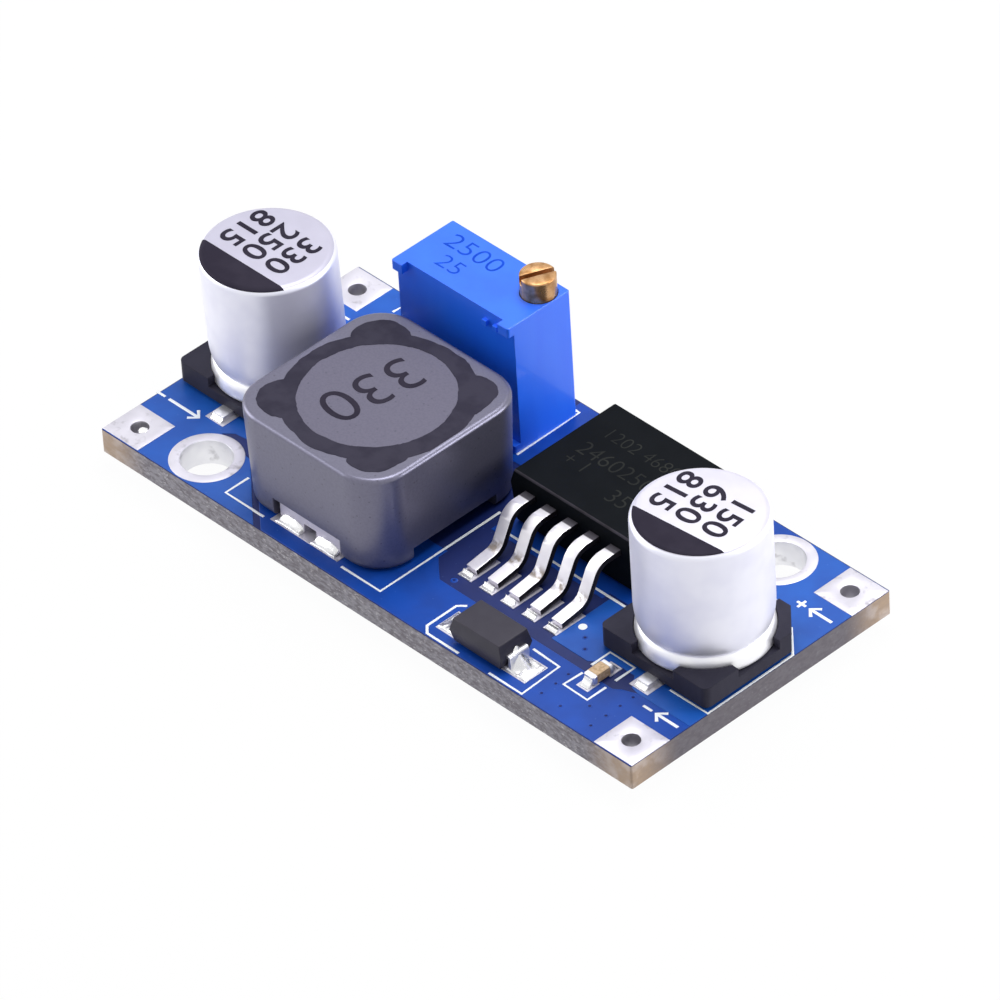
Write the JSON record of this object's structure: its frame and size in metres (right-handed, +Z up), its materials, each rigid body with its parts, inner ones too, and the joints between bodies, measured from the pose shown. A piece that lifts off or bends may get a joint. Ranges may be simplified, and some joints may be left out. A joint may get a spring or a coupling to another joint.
{
  "type": "buck converter module",
  "caption": "Small step-down power board with two cans, a shielded inductor, a regulator and a worm-driven trimmer that really turns.",
  "frame": {"origin": "under the middle of the board, level with the tips of the trimmer's solder joints", "axes": "+X along the board from its output end to its input end, +Y across it towards the trimmer, +Z up out of the component side"},
  "size_m": [0.043, 0.0202, 0.013],
  "materials": {
    "laminate": "blue solder mask over glass laminate, satin gloss",
    "tinned_copper": "hot-tinned copper, slightly rippled",
    "solder": "bright solder",
    "can_aluminium": "satin drawn aluminium, printed crown",
    "seat_plastic": "dark moulded plastic",
    "ferrite_shield": "fine-grained pressed ferrite, coated",
    "ferrite_core": "ground ferrite face",
    "winding_enamel": "enamelled copper wire",
    "casting_resin": "dark cast resin",
    "trimmer_blue": "bright blue moulded plastic",
    "screw_brass": "turned brass",
    "seal_rubber": "soft rubber",
    "rotor_plastic": "natural moulded plastic",
    "wiper_alloy": "sprung contact alloy",
    "element_ceramic": "ceramic with a dark resistive track",
    "package_epoxy": "moulded black epoxy",
    "diode_epoxy": "moulded charcoal epoxy",
    "lead_tin": "tin-plated copper alloy",
    "chip_tan": "fired tan ceramic",
    "chip_black": "glazed black film"
  },
  "bodies": {
    "board": {"capacitor_solder": "solder", "chip_capacitor_body": "chip_tan", "chip_capacitor_ends": "lead_tin", "chip_capacitor_lands": "tinned_copper", "chip_resistor_body": "chip_black", "chip_resistor_ends": "lead_tin", "chip_resistor_lands": "tinned_copper", "chip_solder": "solder", "circuit_board": "laminate", "diode_body": "diode_epoxy", "diode_lands": "tinned_copper", "diode_left_lead": "lead_tin", "diode_right_lead": "lead_tin", "diode_solder": "solder", "far_mounting_ring": "tinned_copper", "inductor_core": "ferrite_core", "inductor_far_clip": "lead_tin", "inductor_lands": "tinned_copper", "inductor_near_clip": "lead_tin", "inductor_resin": "casting_resin", "inductor_shield": "ferrite_shield", "inductor_solder": "solder", "inductor_winding": "winding_enamel", "input_capacitor_base": "seat_plastic", "input_capacitor_can": "can_aluminium", "input_capacitor_lands": "tinned_copper", "input_capacitor_negative_tab": "lead_tin", "input_capacitor_positive_tab": "lead_tin", "input_negative_terminal": "tinned_copper", "input_positive_terminal": "tinned_copper", "near_mounting_ring": "tinned_copper", "output_capacitor_base": "seat_plastic", "output_capacitor_can": "can_aluminium", "output_capacitor_lands": "tinned_copper", "output_capacitor_negative_tab": "lead_tin", "output_capacitor_positive_tab": "lead_tin", "output_negative_terminal": "tinned_copper", "output_positive_terminal": "tinned_copper", "regulator_body": "package_epoxy", "regulator_heat_tab": "lead_tin", "regulator_lands": "tinned_copper", "regulator_lead_1": "lead_tin", "regulator_lead_2": "lead_tin", "regulator_lead_3": "lead_tin", "regulator_lead_4": "lead_tin", "regulator_lead_5": "lead_tin", "regulator_solder": "solder", "trimmer_base": "trimmer_blue", "trimmer_element": "element_ceramic", "trimmer_housing": "trimmer_blue", "trimmer_pin_1": "lead_tin", "trimmer_pin_2": "lead_tin", "trimmer_pin_3": "lead_tin", "trimmer_pin_lands": "tinned_copper", "trimmer_pin_solder": "solder"},
    "screw": {"trimmer_screw": "screw_brass", "trimmer_seal_ring": "seal_rubber"},
    "rotor": {"trimmer_rotor": "rotor_plastic", "trimmer_wiper": "wiper_alloy"}
  },
  "joints": [
    {"name": "screw_turn", "type": "hinge", "parent": "board", "child": "screw", "pos_m": [-0.00356, 0.00784, 0.01165], "axis": [0, 0, 1], "range_deg": [-4500, 4500]},
    {"name": "rotor_turn", "type": "hinge", "parent": "board", "child": "rotor", "pos_m": [-0.00744, 0.00784, 0.0072], "axis": [0, 1, 0], "range_deg": [-150.5, 150.5]}
  ],
  "couplings": [
    {"joint": "rotor_turn", "follows": "screw_turn", "ratio": 0.033333}
  ]
}
